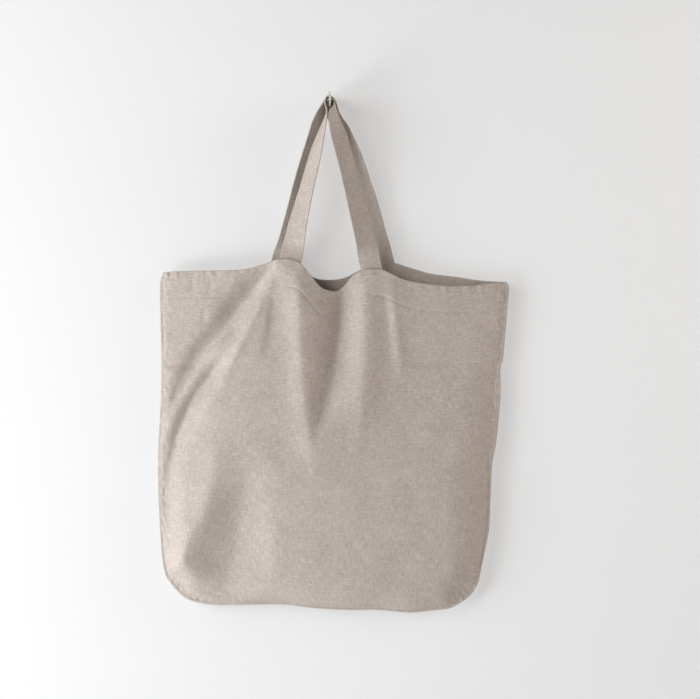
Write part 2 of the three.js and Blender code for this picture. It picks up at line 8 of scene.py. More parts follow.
import bpy
import numpy as np
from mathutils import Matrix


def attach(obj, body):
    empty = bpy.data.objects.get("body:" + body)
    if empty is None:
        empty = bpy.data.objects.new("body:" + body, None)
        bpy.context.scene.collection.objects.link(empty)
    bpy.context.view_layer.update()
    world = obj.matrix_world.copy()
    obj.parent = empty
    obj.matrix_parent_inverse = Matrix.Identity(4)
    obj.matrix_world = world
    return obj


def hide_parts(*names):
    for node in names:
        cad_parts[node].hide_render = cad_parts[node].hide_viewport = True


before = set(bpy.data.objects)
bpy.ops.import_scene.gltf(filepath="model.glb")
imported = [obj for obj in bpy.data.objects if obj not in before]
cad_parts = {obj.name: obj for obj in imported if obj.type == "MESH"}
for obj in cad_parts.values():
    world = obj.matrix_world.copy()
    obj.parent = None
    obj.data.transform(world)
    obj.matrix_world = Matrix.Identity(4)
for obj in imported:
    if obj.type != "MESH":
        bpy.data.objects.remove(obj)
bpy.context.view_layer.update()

# Driving sizes, the same as those of the solids
CLOTH = 2.0             # thickness of a panel's solid
HEM_WIDTH = 38.0        # turned in along each rim, on the inside
HEM_STEP = 6.0
HEM_TAPER = 0.04        # share of the width over which the hem thins into each seam
HANDLE_WIDTH = 30.0
PLY_GAP = 0.5           # clear space between the solids' two plies
HOOK_SLOPE = 0.12       # rise of the hook's top edge toward its mounting face
EDGE_SAMPLES = 64
FOLD_SAMPLES = 24
SEAM_BLEND = 3          # how sharply a place takes after the seam it is nearest to

# Real thicknesses of what is shown
LINEN = 1.2
HEM_EXTRA = 1.4         # two more layers of linen at the hem
WEBBING = 2.1
SEAM_TURN = 13.0        # distance over which the two plies part from each other at a seam
EDGE_ROUND = 1.3        # radius of a folded or turned edge
EDGE_LEAST = 0.12       # share of the thickness left at a rounded edge
SEWN_CLEARANCE = 0.02   # from each thin sheet to the middle of their seam
LAPPED_CLEARANCE = 0.05   # between a handle's sewn end and the hem

# The cloth's threads
WARP_PITCH = 1.15       # between the middles of two threads that run down the cloth
WEFT_PITCH = 1.25       # the same for those that run across it
GRAIN_REF = -235.0      # height from which the cloth's threads are counted
GRAIN_LIFT = 60.0       # distance below the rim over which they stop following it

# Steps of the meshes
PANEL_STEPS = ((210, 190))   # across, down
CROWDING = 0.11         # how much closer the steps are near a panel's edges
HANDLE_COLUMNS = (0, 0.15, 0.45, 0.95, 1.8, 3, 3.6, 4.2, 5.5, 8, 11.5, 15)   # in from its edge
HANDLE_PER_ROW = 14     # steps between two rows of a handle's table


def table(columns, rows):
    """A short table as one array for each named column."""
    return dict(zip(columns.split(), np.array(rows, float).T))


# Outline. The sewn edge runs down the left, round the bottom and up the right.
# depth: how far the seam stands off the mounting plane
# margin: width of the flat seam allowance along the edge
LEFT_EDGE = table("x z depth margin", [
    (-230, -228, 15, 2),
    (-234.5, -246, 15, 2),
    (-234, -290, 16, 2),
    (-232.5, -345, 17, 2),
    (-233, -400, 18, 2),
    (-235.5, -445, 18, 2),
    (-237.3, -492, 18, 2),
    (-236, -545, 19, 2),
    (-233.5, -590, 19, 3),
    (-230.5, -624, 20, 4),
    (-225.5, -645, 20, 5),
    (-214, -661.5, 20, 6),
])
BOTTOM_EDGE = table("x z depth margin", [
    (-214, -661.5, 20, 6),
    (-199, -675, 20, 6),
    (-179, -682, 20, 6),
    (-154, -684.5, 20, 5),
    (-110, -684.5, 20, 4),
    (-66, -684, 20, 3),
    (-22, -689, 20, 3),
    (22, -691.5, 20, 3),
    (65, -691.5, 20, 3),
    (109, -695, 20, 3),
    (142, -692, 20, 4),
    (164, -689, 20, 4),
    (184, -678, 20, 4),
    (195.5, -667.5, 20, 3),
])
RIGHT_EDGE = table("x z depth margin", [
    (242, -241, 17, 5),
    (245.5, -251, 17, 5),
    (243, -284, 17, 5),
    (239, -333, 16, 6),
    (237, -349, 16, 6),
    (234, -360, 16, 8),
    (233.7, -403, 17, 10),
    (227.8, -463, 18, 7),
    (222.8, -489, 18, 6),
    (220, -540, 19, 4),
    (218, -581, 19, 5),
    (213.5, -604, 20, 4),
    (209, -626, 20, 3),
    (205.2, -645, 20, 3),
    (202, -656, 20, 3),
    (195.5, -667.5, 20, 3),
])

# The two free rims, left to right. The handles lift each one in two places.
FRONT_RIM = table("x z", [
    (-230, -228), (-221, -227), (-178, -226), (-122, -225), (-92, -218), (-70, -210.5),
    (-53, -211.5), (-40, -217), (-29, -229), (-14, -248), (-1, -253.5), (10, -254),
    (19, -247), (29, -235.5), (42, -226), (57, -224), (73, -226), (104, -239.5),
    (149, -246.5), (194, -246.5), (230, -242), (242, -241),
])
BACK_RIM = table("x z", [
    (-230, -228), (-180, -228), (-122, -227), (-84, -217), (-66, -214), (-48, -218),
    (-22, -235), (2, -238), (22, -234), (44, -222), (62, -214), (88, -214.5),
    (106, -220), (137, -229), (174, -234), (208, -239), (242, -241),
])

# How far the front bulges past its sewn edge, at five shares of the width
BULGE_ACROSS = (0.05, 0.3, 0.5, 0.72, 0.95)
FRONT_BULGE = table("z edge left middle right far", [
    (-228, 6, 21, 22, 14, 5),
    (-330, 5, 21, 20, 14, 8),
    (-430, 11, 24, 23, 19, 14),
    (-530, 17, 25, 26, 23, 19),
    (-630, 17, 22, 25, 23, 20),
])
LEAST_BULGE = 0.5

# Distance over which the bulge swells up from the left, right and bottom seams
SWELL_RUNS = table("z left right bottom", [
    (-228, 40, 32, 45),
    (-330, 40, 44, 45),
    (-430, 46, 58, 45),
    (-530, 42, 60, 45),
    (-630, 32, 50, 40),
])

# Folds, each along a curve from its start past its bend to its end.
# rise: height of the ridge, or minus the depth of the trough
# left, right: reach of its two slopes at its start, as seen with its start at the top
# taper: reach at its end as a share of that
# fade: share of its length over which each end dies away
FOLD_COLUMNS = ("name", "rise", "left", "right", "taper", "fade", "start", "bend", "end")


def folds(rows):
    """A table of folds as one dictionary for each row."""
    return [dict(zip(FOLD_COLUMNS, row)) for row in rows]


MAIN_FOLDS = folds([
    ("long trough to the left side", -14, 19, 24, 0.5, 0.15, (-63, -213), (-141, -286), (-231, -432)),
    ("crease beside the long trough", 10, 8, 17, 1.2, 0.3, (-126, -308), (-183, -341), (-235, -468)),
    ("second trough on the left", -13, 13, 15, 1, 0.2, (-118, -327), (-255, -430), (-219, -640)),
    ("ridge below the left handle", 8, 9, 36, 1.5, 0.2, (-63, -202), (-98, -305), (-192, -458)),
    ("small crease", -3, 6, 15, 1.2, 0.45, (-71, -234), (-77, -290), (-89, -368)),
    ("ridge beside the middle trough", 12, 12, 31, 1.9, 0.25, (-41, -203), (-47, -335), (-14, -525)),
    ("middle trough", -15, 25, 25, 0.65, 0.25, (16, -189), (22, -350), (-32, -472)),
    ("ridge below the right handle", 8, 13, 18, 1.6, 0.3, (44, -205), (54, -332), (37, -478)),
    ("tuck beside the right handle", 4, 6, 15, 1, 0.35, (80, -215), (88, -296), (97, -387)),
    ("roll along the left side", 12, 29, 42, 0.6, 0.3, (-149, -425), (-152, -570), (-246, -690)),
    ("hollow above the left corner", -13, 42, 40, 1.4, 0.25, (-110, -478), (-128, -622), (-177, -820)),
    ("soft roll above the bottom", 3, 12, 30, 1.2, 0.35, (-88, -554), (-68, -602), (-78, -668)),
    ("low bump above the bottom", 1.5, 18, 24, 1, 0.4, (47, -612), (60, -640), (66, -676)),
    ("dent in the left hem", -4.5, 11, 18, 1.1, 0.4, (-88, -228), (-119, -255), (-172, -290)),
    ("faint roll below the middle", 2.2, 27, 31, 1.4, 0.4, (-84, -424), (-84, -505), (-89, -590)),
])
FOLD_CREST = 4.0          # distance from its line over which a fold is rounded off
FOLD_FORM = 1.5           # 1 for slopes that grow steeper up to the line, 2 for soft even ones
# Smaller creases, which only the shown cloth has
FINE_FOLDS = folds([
    ("dark line in the long trough", -2.5, 7, 9, 1, 0.25, (-104, -250), (-163, -291), (-221, -393)),
    ("narrow crest below the left handle", 4, 6, 5, 1, 0.2, (-69, -213), (-104, -290), (-160, -400)),
    ("crease in the left hem", -1.2, 3, 4, 1, 0.4, (-187, -225), (-189, -240), (-190, -262)),
    ("second crease in the left hem", -1, 4, 3, 1, 0.4, (-160, -226), (-164, -246), (-170, -272)),
    ("third crease in the left hem", 1, 4, 4, 1, 0.4, (-126, -225), (-134, -244), (-146, -268)),
    ("short crease below the left hem", -1, 3, 3, 1, 0.4, (-172, -272), (-173, -288), (-175, -306)),
    ("old fold line on the right", -0.9, 3, 4, 1, 0.2, (70, -352), (160, -354), (236, -353)),
    ("old fold line on the left", -1.4, 3, 4, 1, 0.2, (-238, -355), (-206, -356), (-176, -356)),
    ("thin ridge low on the left", 1.6, 7, 5, 1, 0.35, (-186, -556), (-192, -592), (-207, -632)),
    ("roll along the bottom at the left", 1.6, 5, 4, 0.8, 0.3, (-206, -652), (-184, -676), (-118, -678)),
    ("sharp crest of the tuck", 0.8, 3, 4, 1, 0.3, (85, -262), (92, -310), (100, -372)),
    ("soft end of the middle trough", 3, 13, 15, 1, 0.4, (10, -330), (-8, -400), (-36, -484)),
])
FINE_SET_IN = 0.5         # share of the swell by which these have their full height

# The back lies nearly flat against the mounting plane and is drawn forward at its rim
BACK_REST_DEPTH = 4.2
BACK_RIM_PULL = 7.0       # how far the handle draws the rim forward
BACK_RIM_LOW = -238.0     # height of the rim's lowest stretch
BACK_RIM_REACH = 75.0     # how far down the panel that pull is felt
BACK_RUN = 36.0           # distance over which the back leaves the seams

# Handles, from the sewn end on the left over the hook to the sewn end on the right.
# turn: angle of the band's width, 0 across the bag and 90 straight out along the hook
# sewn: 1 where the band lies on the panel's inner face, 0 where it hangs free
FRONT_HANDLE = table("x depth z turn sewn", [
    (-60, 42, -242, 10, 1),
    (-52.5, 42, -205, 12, 1),
    (-47, 45, -180, 26, 0),
    (-43.3, 47, -162, 33, 0),
    (-34.2, 49, -126, 47.5, 0),
    (-20.2, 51, -72, 58, 0),
    (-14.7, 51.4, -52, 65.5, 0),
    (-9, 51.5, -32, 77, 0),
    (-5.7, 51.5, -20, 85, 0),
    (-4.5, 51.5, -10, 90, 0),
    (-6.7, 51.5, 0, 90, 0),
    (-5.2, 51.5, 6.4, 90, 0),
    (-1.5, 51.5, 8.7, 90, 0),
    (3, 51.5, 6.5, 90, 0),
    (5.6, 51.5, 0.5, 90, 0),
    (5.6, 51.5, -6.5, 83, 0),
    (4.9, 51.5, -13, 68, 0),
    (5.3, 51.5, -20, 62, 0),
    (7.1, 51.5, -28, 57, 0),
    (9.8, 51, -37.5, 51, 0),
    (14.3, 50.5, -53, 45, 0),
    (26.2, 47, -96, 41, 0),
    (38.2, 43, -146, 34, 0),
    (47.5, 39, -184, 26, 0),
    (54.5, 35, -217, 8, 1),
    (62, 34, -254, 6, 1),
])
BACK_HANDLE = table("x depth z turn sewn", [
    (-74, 12, -245, 166, 1),
    (-65, 12, -208, 160, 1),
    (-58.8, 13, -184, 149, 0),
    (-49.8, 15, -147, 139, 0),
    (-39.6, 17, -102, 130, 0),
    (-31.3, 18.5, -70, 124, 0),
    (-24.4, 19.5, -46, 120, 0),
    (-19.6, 20, -28, 117, 0),
    (-16.5, 20, -19.5, 116, 0),
    (-12.2, 20, -9, 112, 0),
    (-7.9, 20, 3, 100, 0),
    (-5.6, 20, 9.4, 93, 0),
    (-1.5, 20, 12.6, 90, 0),
    (3.4, 20, 10.8, 91, 0),
    (6.4, 20, 3.5, 96, 0),
    (7.5, 20, -9.5, 108, 0),
    (11.8, 20, -20, 113, 0),
    (18.4, 20, -31, 118, 0),
    (25.6, 19.5, -49, 125, 0),
    (32.6, 18.5, -71, 140, 0),
    (41.2, 16.5, -104, 163, 0),
    (51.8, 15, -137, 182, 0),
    (61.2, 14, -171, 188, 0),
    (66.2, 13, -188, 185, 0),
    (71.5, 12, -208, 180, 1),
    (80.5, 12, -245, 174, 1),
])

# Unevenness of soft washed linen. Each field of waves has a seed and its shortest and longest wave.
SAG = {"seed": 11, "waves": (45, 110), "height": 0.22}
CRUMPLE = {"seed": 12, "waves": (14, 34), "height": 0.07}
PUCKER = {"seed": 13, "waves": (7, 13), "height": 0.3, "inset": 7.0, "reach": 7.0, "fade": 4.0}
RELIEF_INSET = 20.0       # distance from the seams over which sag and crumple set in
BACK_RELIEF = 0.7         # share of the unevenness that the back has

# Sewing
STITCH = {"length": 2.5, "pitch": 3.3, "thick": 0.5, "wide": 0.55}
STITCH_SIDES = 6
# One stitch from end to end: place as a share of its length, share of its width, and share of its
# thickness by which it is lifted out of the cloth
STITCH_PROFILE = [
    (-0.5, 0.25, -0.45),
    (-0.38, 0.8, 0.05),
    (0.0, 1.0, 0.3),
    (0.38, 0.8, 0.05),
    (0.5, 0.25, -0.45),
]
HEM_STITCH_LINE = 36.0    # distance below the rim
HANDLE_STITCH_INSET = 3.6  # distance from the edge of a handle
HEM_SEAM_KEEP = 5.0       # the hem's row of stitches stops this far from each seam
# Depth and reach of the lines that the sewing draws into the outer face, and of the rim's creases
HEM_LINE = {"depth": 0.7, "reach": 1.9}
SEAM_LINE = {"depth": 0.3, "reach": 1.2, "inset": 4.5}
HANDLE_LINE = {"depth": 0.2, "reach": 1.0}
RIM_CREASES = {"depth": 0.4, "reach": 7.0, "inset": 4.0}
# upright: share of the height at which the creases' waves are read, which draws them out upward
CREASE_WAVES = {"seed": 14, "waves": (6, 15), "upright": 0.25}
LINES_FADE = 8.0          # distance from the seams over which the hem's line and the creases set in

# Camera, as the photo was taken: level and square to the mounting plane
CAMERA_PLACE = (0.027, -2.2, -0.334)
FRAME_WIDTH = 0.9695      # what the view takes in at the mounting plane
SENSOR = 36.0

# Colours
LINEN_COLOUR = (0.52, 0.455, 0.411)
HANDLE_COLOUR = (0.50, 0.437, 0.393)
THREAD_COLOUR = (0.55, 0.50, 0.45)
METAL_COLOUR = (0.5, 0.5, 0.485)

# In each range, 1 and 2 are the limits that are read, and 3 and 4 what they are carried to, or else
# 0 and 1. These are also the numbers of the shader node's inputs.

# Noises of the linen, as cells a millimetre across and along the cloth
WANDER_CELLS = (0.03, 0.03, 0.03)
WANDER = 5.0              # how far the threads stray, in millimetres for the noise's whole range
WEFT_CELLS = (0.13, 0.55, 1.0)
WARP_CELLS = (0.52, 0.1, 1.0)
SLUB_CELLS = (0.07, 0.33, 1.0)
MOTTLE_CELLS = (0.028, 0.028, 1.0)
# The weft's share of the tone, between two places along the cloth. The warp has the rest of the sum.
WEFT_SHARE = {1: 60.0, 2: 420.0, 3: 0.5, 4: 0.72}
SHARE_SUM = 1.3
SLUB_RANGE = {1: 0.56, 2: 0.8}        # of its noise, from no slub to a whole one
TONE = {"mottle": 0.22, "slub": 0.2, "weave": 0.05}
TONE_RANGE = {1: 0.52, 2: 1.12}       # of the tone, from dark to light
LINEN_CONTRAST = 0.24
RELIEF = {"weave": 0.3, "threads": 0.9, "slub": 0.35}

# Noises of the metal and the thread, as cells a metre
SCRATCH_CELLS = (9000.0, 120.0, 9000.0)
SCRATCH_ROUGHNESS = {1: 0.3, 2: 0.7, 3: 0.26, 4: 0.44}
TWIST_CELLS = (2500.0, 2500.0, 2500.0)
THREAD_CONTRAST = 0.15

# Surroundings, in metres
WALL_BEHIND = 0.0006
FLOOR_HEIGHT = -1.35
STAGE_REACH = 4.0
FLOOR_TONE = 0.8
BACKDROP_TONE = 0.45
BACKDROP_GLOW = 0.41
BAG_CENTRE = (0.0, -0.03, -0.45)
LIGHTS = {
    "key_light": {"location": (-1.5, -0.85, 0.1), "size": 1.0, "power": 14.5, "colour": (0.95, 0.975, 1.0)},
    "front_light": {"location": (-1.05, -1.7, 0.1), "size": 0.7, "power": 8.4, "colour": (1.0, 0.98, 0.96)},
    "low_light": {"location": (-1.5, -0.9, -1.2), "size": 1.0, "power": 33, "colour": (0.96, 0.98, 1.0)},
    "right_light": {"location": (1.6, -0.4, 0.15), "size": 1.0, "power": 15, "colour": (1.0, 0.92, 0.85)},
}
WORLD_SEEN = {"Color": (0.9, 0.91, 0.92, 1), "Strength": 0.85}
WORLD_LIGHT = {"Color": (1.0, 0.98, 0.96, 1), "Strength": 0.06}

MM = 0.001


def smooth(t):
    t = np.clip(t, 0, 1)
    return t * t * (3 - 2 * t)


def catmull(a, b, c, d, t):
    return b + 0.5 * t * (c - a + t * (2 * a - 5 * b + 4 * c - d + t * (3 * (b - c) + d - a)))


def spline(values, places):
    """A smooth curve through evenly spaced values, read at places counted in rows."""
    last = len(values) - 1
    row = np.clip(np.floor(places).astype(int), 0, last - 1)
    near = [values[np.clip(row + k, 0, last)] for k in (-1, 0, 1, 2)]
    return catmull(*near, places - row)


def even_curve(rows):
    """Reads a table's smooth curve at shares of its length in the X-Z plane."""
    places = np.linspace(0, len(rows["x"]) - 1, EDGE_SAMPLES * 4 + 1)
    points = {name: spline(values, places) for name, values in rows.items()}
    steps = np.hypot(np.diff(points["x"]), np.diff(points["z"]))
    lengths = np.concatenate([[0], np.cumsum(steps)])

    def read(share):
        wanted = np.clip(share, 0, 1) * lengths[-1]
        return {name: np.interp(wanted, lengths, values) for name, values in points.items()}

    return read


left_edge = even_curve(LEFT_EDGE)
bottom_edge = even_curve(BOTTOM_EDGE)
right_edge = even_curve(RIGHT_EDGE)
SEAMS = [edge(np.linspace(0, 1, EDGE_SAMPLES + 1)) for edge in (left_edge, bottom_edge, right_edge)]


def nearest(seam, x, z):
    """Distance from each point to one seam, with the seam's depth and margin there."""
    distance = np.full(x.shape, np.inf)
    found = {"depth": np.zeros(x.shape), "margin": np.zeros(x.shape)}
    for i in range(EDGE_SAMPLES):
        ax, az = seam["x"][i], seam["z"][i]
        dx, dz = seam["x"][i + 1] - ax, seam["z"][i + 1] - az
        t = np.clip(((x - ax) * dx + (z - az) * dz) / (dx * dx + dz * dz), 0, 1)
        here = np.hypot(x - ax - t * dx, z - az - t * dz)
        closer = here < distance
        distance = np.where(closer, here, distance)
        for name, values in found.items():
            value = seam[name][i] + (seam[name][i + 1] - seam[name][i]) * t
            found[name] = np.where(closer, value, values)
    return distance, found["depth"], found["margin"]


def read_curve(stations, values, place):
    """A smooth curve through the values at the stations, level past both ends."""
    stations = np.array(stations, float)
    last = len(stations) - 1
    direction = np.sign(stations[-1] - stations[0])
    row = np.clip(np.searchsorted(stations * direction, place * direction), 1, last)
    t = np.clip((place - stations[row - 1]) / (stations[row] - stations[row - 1]), 0, 1)
    stack = np.stack([np.broadcast_to(value, place.shape) for value in values])
    near = [np.take_along_axis(stack, np.clip(row + k, 0, last)[None], 0)[0] for k in (-2, -1, 0, 1)]
    return catmull(*near, t)


def column_at(rows, name, z):
    return read_curve(rows["z"], rows[name], z)


def offset_from(fold, x, z, t):
    """Distance, side offset and offset along from share t of a fold's bent line."""
    (sx, sz), (bx, bz), (ex, ez) = fold["start"], fold["bend"], fold["end"]
    s = 1 - t
    dx = x - (s * s * sx + 2 * s * t * bx + t * t * ex)
    dz = z - (s * s * sz + 2 * s * t * bz + t * t * ez)
    tx = 2 * s * (bx - sx) + 2 * t * (ex - bx)
    tz = 2 * s * (bz - sz) + 2 * t * (ez - bz)
    speed = np.hypot(tx, tz)
    return np.hypot(dx, dz), (dz * tx - dx * tz) / speed, (dx * tx + dz * tz) / speed ** 2


def fold_at(fold, x, z):
    """Rise of one fold: a soft ridge or trough along its bent line."""
    share = np.zeros(x.shape)
    closest = np.full(x.shape, np.inf)
    for i in range(FOLD_SAMPLES + 1):
        distance = offset_from(fold, x, z, i / FOLD_SAMPLES)[0]
        share = np.where(distance < closest, i / FOLD_SAMPLES, share)
        closest = np.minimum(closest, distance)
    share = share + offset_from(fold, x, z, share)[2]
    share = np.clip(share + offset_from(fold, x, z, share)[2], 0, 1)
    side = offset_from(fold, x, z, share)[1]
    reach = np.where(side > 0, fold["right"], fold["left"]) * (1 + (fold["taper"] - 1) * share)
    ends = smooth(share / fold["fade"]) * smooth((1 - share) / fold["fade"])
    form = (FOLD_CREST / reach) ** FOLD_FORM - (np.hypot(side, FOLD_CREST) / reach) ** FOLD_FORM
    return fold["rise"] * ends * np.exp(form)


def place(x, z):
    """Where each point lies on the bag: the seams around it and how far in from them it is."""
    near = [nearest(seam, x, z) for seam in SEAMS]
    weights = [1 / np.maximum(one[0], 0.01) ** SEAM_BLEND for one in near]
    total = sum(weights)
    return {
        "left": near[0][0],
        "bottom": near[1][0],
        "right": near[2][0],
        "depth": sum(one[1] * weight for one, weight in zip(near, weights)) / total,
        "margin": sum(one[2] * weight for one, weight in zip(near, weights)) / total,
    }


def swell(distance, run):
    t = np.clip(distance / run, 0, 1)
    return 1 - (1 - t) ** 2


def waves(kind, count=40):
    """Soft seeded unevenness, about one high, as a sum of waves in many directions."""
    draw = np.random.default_rng(kind["seed"])
    shortest, longest = kind["waves"]
    angle = draw.uniform(0, math.tau, count)
    length = np.exp(draw.uniform(math.log(shortest), math.log(longest), count))
    shift = draw.uniform(0, math.tau, count)

    def field(x, z):
        total = np.zeros(x.shape)
        for a, size, start in zip(angle, length, shift):
            total += np.sin(math.tau * (x * math.cos(a) + z * math.sin(a)) / size + start)
        return total / math.sqrt(count / 2)

    return field


sag = waves(SAG)
crumple = waves(CRUMPLE)
pucker = waves(PUCKER)
rim_crease = waves(CREASE_WAVES)


def groove(distance, line):
    """How deep a drawn-in line is at a distance from its middle."""
    return line["depth"] * np.exp(-(distance / line["reach"]) ** 2)


def to_seam(at):
    """Distance to the nearest seam."""
    return np.minimum(np.minimum(at["left"], at["right"]), at["bottom"])


def linen_relief(at, x, z):
    """Unevenness of soft washed linen, with puckers along the seams."""
    edge = to_seam(at)
    inside = smooth(edge / RELIEF_INSET)
    along_seam = np.exp(-((edge - PUCKER["inset"]) / PUCKER["reach"]) ** 2) * smooth(edge / PUCKER["fade"])
    uneven = SAG["height"] * sag(x, z) + CRUMPLE["height"] * crumple(x, z)
    return inside * uneven + PUCKER["height"] * along_seam * pucker(x, z)


def front_depth(x, z):
    """Depth of the middle of the front panel's solid, with the fine relief of its cloth."""
    at = place(x, z)
    across = at["left"] / (at["left"] + at["right"])
    rise = np.ones(x.shape)
    for side in ("left", "right", "bottom"):
        rise = rise * swell(at[side] - at["margin"], column_at(SWELL_RUNS, side, z))
    bulges = [column_at(FRONT_BULGE, name, z) for name in ("edge", "left", "middle", "right", "far")]
    body = read_curve(BULGE_ACROSS, bulges, across)
    for fold in MAIN_FOLDS:
        body = body + fold_at(fold, x, z)
    depth = at["depth"] + (CLOTH + PLY_GAP) / 2 + np.maximum(body, LEAST_BULGE) * rise
    for fold in FINE_FOLDS:
        depth = depth + fold_at(fold, x, z) * smooth(rise / FINE_SET_IN)
    return depth + linen_relief(at, x, z)


def back_depth(x, z):
    """Depth of the middle of the back panel's solid, with the fine relief of its cloth."""
    at = place(x, z)
    seam = at["depth"] - (CLOTH + PLY_GAP) / 2
    flat = np.ones(x.shape)
    for side in ("left", "right", "bottom"):
        flat = flat * swell(at[side] - at["margin"], BACK_RUN)
    pull = BACK_RIM_PULL * smooth(1 - (BACK_RIM_LOW - z) / BACK_RIM_REACH)
    # Its unevenness is the front's with x and z swapped, so that the two differ
    return seam + (BACK_REST_DEPTH + pull - seam) * flat + BACK_RELIEF * linen_relief(at, z, x)


def crowd(t):
    """A share of the way whose steps are closer near both ends."""
    return t - CROWDING * np.sin(2 * math.pi * t)


def outline_points(rim, across, down):
    """Points of the flat outline at shares across and down, between its rim and its seams."""
    top, bottom = rim(across), bottom_edge(across)
    left, right = left_edge(down), right_edge(down)
    corners = [left_edge(0), right_edge(0), left_edge(1), right_edge(1)]

    def mix(name):
        sides = (1 - down) * top[name] + down * bottom[name]
        sides = sides + (1 - across) * left[name] + across * right[name]
        upper = (1 - across) * corners[0][name] + across * corners[1][name]
        lower = (1 - across) * corners[2][name] + across * corners[3][name]
        return sides - (1 - down) * upper - down * lower

    return mix("x"), mix("z")


def unit(vectors):
    return vectors / np.linalg.norm(vectors, axis=-1, keepdims=True)


def grid_normals(points):
    """Unit normals of a grid of points, from its rows crossed with its columns."""
    down = np.gradient(points, axis=0)
    across = np.gradient(points, axis=1)
    return unit(np.cross(down, across))


def round_edge(distance, radius):
    """Share of the full thickness at a distance in from a rounded edge."""
    t = np.clip(distance / radius, 0, 1)
    return np.maximum(np.sqrt(1 - (1 - t) ** 2), EDGE_LEAST)


def grid_faces(rows, columns):
    """Quads of a closed sheet between two equal grids of points, the first one's face first."""
    index = np.arange(rows * columns).reshape(rows, columns)
    a, b, c, d = index[:-1, :-1], index[1:, :-1], index[1:, 1:], index[:-1, 1:]
    front = np.stack([a, b, c, d], -1).reshape(-1, 4)
    back = np.stack([a, d, c, b], -1).reshape(-1, 4) + rows * columns
    loop = np.concatenate([index[0, :], index[1:, -1], index[-1, -2::-1], index[-2:0:-1, 0]])
    following = np.roll(loop, -1)
    rim = np.stack([loop, following, following + rows * columns, loop + rows * columns], -1)
    return np.concatenate([front, back, rim])


def make_mesh(name, points, faces, cloth=None):
    """A smooth mesh object from points in millimetres, with their places on the cloth, if given, as
    UVs in metres past the middle of the map."""
    mesh = bpy.data.meshes.new(name)
    mesh.from_pydata((points * MM).tolist(), [], faces)
    mesh.polygons.foreach_set("use_smooth", np.ones(len(mesh.polygons), bool))
    if cloth is not None:
        corners = np.zeros(len(mesh.loops), np.int32)
        mesh.loops.foreach_get("vertex_index", corners)
        layer = mesh.uv_layers.new(name="cloth")
        layer.uv.foreach_set("vector", (cloth[corners] * MM + 0.5).ravel())
    mesh.update()
    piece = bpy.data.objects.new(name, mesh)
    bpy.context.scene.collection.objects.link(piece)
    return piece


def cloth_coordinates(x, z, depth, below_rim):
    """Where each point lies on the flat cloth, its threads following the rim at the top."""
    extra_across = np.hypot(np.diff(x, axis=1), np.diff(depth, axis=1)) - np.abs(np.diff(x, axis=1))
    extra_down = np.hypot(np.diff(z, axis=0), np.diff(depth, axis=0)) - np.abs(np.diff(z, axis=0))
    u = x + np.concatenate([np.zeros((len(x), 1)), np.cumsum(extra_across, 1)], 1)
    v = GRAIN_REF - z + (z + below_rim - GRAIN_REF) * np.exp(-below_rim / GRAIN_LIFT)
    v = v + np.concatenate([np.zeros((1, x.shape[1])), np.cumsum(extra_down, 0)], 0)
    return np.stack([u, -v], -1).reshape(-1, 2)


def drawn_in(x, z, seam_distance, below_rim):
    """How far the sewing and the rim's creases draw in the outer face."""
    drawn = groove(below_rim - HEM_STITCH_LINE, HEM_LINE)
    creases = rim_crease(x, CREASE_WAVES["upright"] * z)
    drawn = drawn + groove(below_rim - RIM_CREASES["inset"], RIM_CREASES) * creases
    return drawn * smooth(seam_distance / LINES_FADE)


def panel(name, rim_rows, depth_at, outward):
    """One panel: its thin sheet on the folds of its solid, and its faces for what is sewn on it.
    outward is 1 where the outside of the bag is toward the viewer and -1 where it is behind."""
    rim = even_curve(rim_rows)
    across = np.broadcast_to(crowd(np.linspace(0, 1, PANEL_STEPS[0] + 1))[None, :],
                             (PANEL_STEPS[1] + 1, PANEL_STEPS[0] + 1))
    down = np.broadcast_to(crowd(np.linspace(0, 1, PANEL_STEPS[1] + 1))[:, None], across.shape)
    x, z = outline_points(rim, across, down)
    at = place(x, z)
    seam_distance = to_seam(at)
    below_rim = rim(across)["z"] - z
    field = (CLOTH - LINEN) / 2
    sewn = LINEN / 2 - (CLOTH + PLY_GAP) / 2 + SEWN_CLEARANCE
    shift = sewn + (field - sewn) * smooth(seam_distance / SEAM_TURN)
    depth = depth_at(x, z) + outward * shift
    middle = np.stack([x, -depth, z], -1)
    normal = grid_normals(middle)
    normal = normal * np.where(normal[..., 1:2] * outward < 0, 1, -1)
    hem = HEM_EXTRA * smooth((HEM_WIDTH + HEM_STEP - below_rim) / HEM_STEP)
    hem = hem * smooth(np.minimum(across, 1 - across) / HEM_TAPER)
    low = -LINEN / 2 - hem
    high = low + (LINEN + hem) * round_edge(seam_distance, EDGE_ROUND)
    high = high - drawn_in(x, z, seam_distance, below_rim)
    high = high - groove(seam_distance - SEAM_LINE["inset"], SEAM_LINE)
    centre, half = (low + high) / 2, (high - low) / 2
    half = half * round_edge(np.maximum(below_rim, 0), EDGE_ROUND)
    outer = middle + normal * (centre + half)[..., None]
    inner = middle + normal * (centre - half)[..., None]
    cloth = cloth_coordinates(x, z, depth, below_rim)
    faces = (outer, inner) if outward > 0 else (inner, outer)
    points = np.concatenate([face.reshape(-1, 3) for face in faces])
    piece = make_mesh(name, points, grid_faces(*x.shape).tolist(), np.concatenate([cloth, cloth]))
    return piece, {"outer": outer, "inner": inner, "normal": normal, "below": below_rim}


def cloth_normal(depth_at, x, z, step=0.5):
    """Unit vectors out of the cloth toward the viewer."""
    dx = (depth_at(x + step, z) - depth_at(x - step, z)) / (2 * step)
    dz = (depth_at(x, z + step) - depth_at(x, z - step)) / (2 * step)
    return unit(np.stack([-dx, -np.ones(x.shape), -dz], -1))


